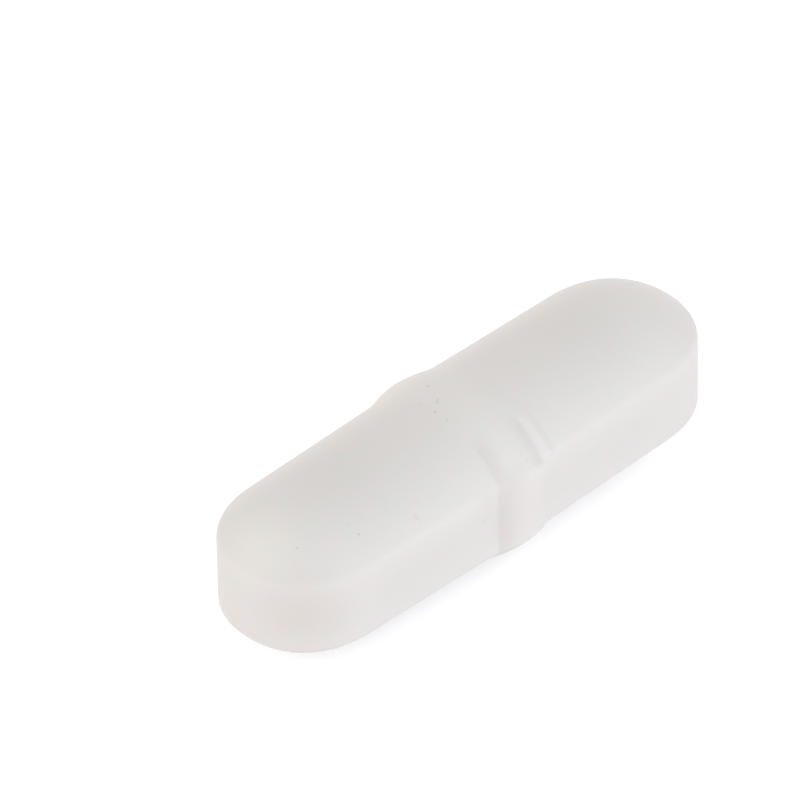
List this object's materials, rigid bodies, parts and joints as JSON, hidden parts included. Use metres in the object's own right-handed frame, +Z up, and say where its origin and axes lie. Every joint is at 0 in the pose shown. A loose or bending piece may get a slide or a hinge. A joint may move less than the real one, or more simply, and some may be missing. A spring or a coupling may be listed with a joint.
{
  "type": "magnetic stir bar",
  "caption": "White capsule-shaped magnetic stir bar with crowned faces, round ends and a pivot ring round its middle, moulded over a bar magnet.",
  "frame": {"origin": "on the surface that the bar rests on, below the middle of the bar: the lowest line of the pivot ring", "axes": "+X along the bar, +Y across it, +Z up"},
  "size_m": [0.025, 0.0082, 0.0076],
  "materials": {
    "jacket": "moulded and sintered fluoropolymer, satin and faintly waxy",
    "magnet": "cast and ground magnet alloy, bare"
  },
  "bodies": {
    "root": {"jacket": "jacket", "magnet": "magnet"}
  },
  "joints": []
}
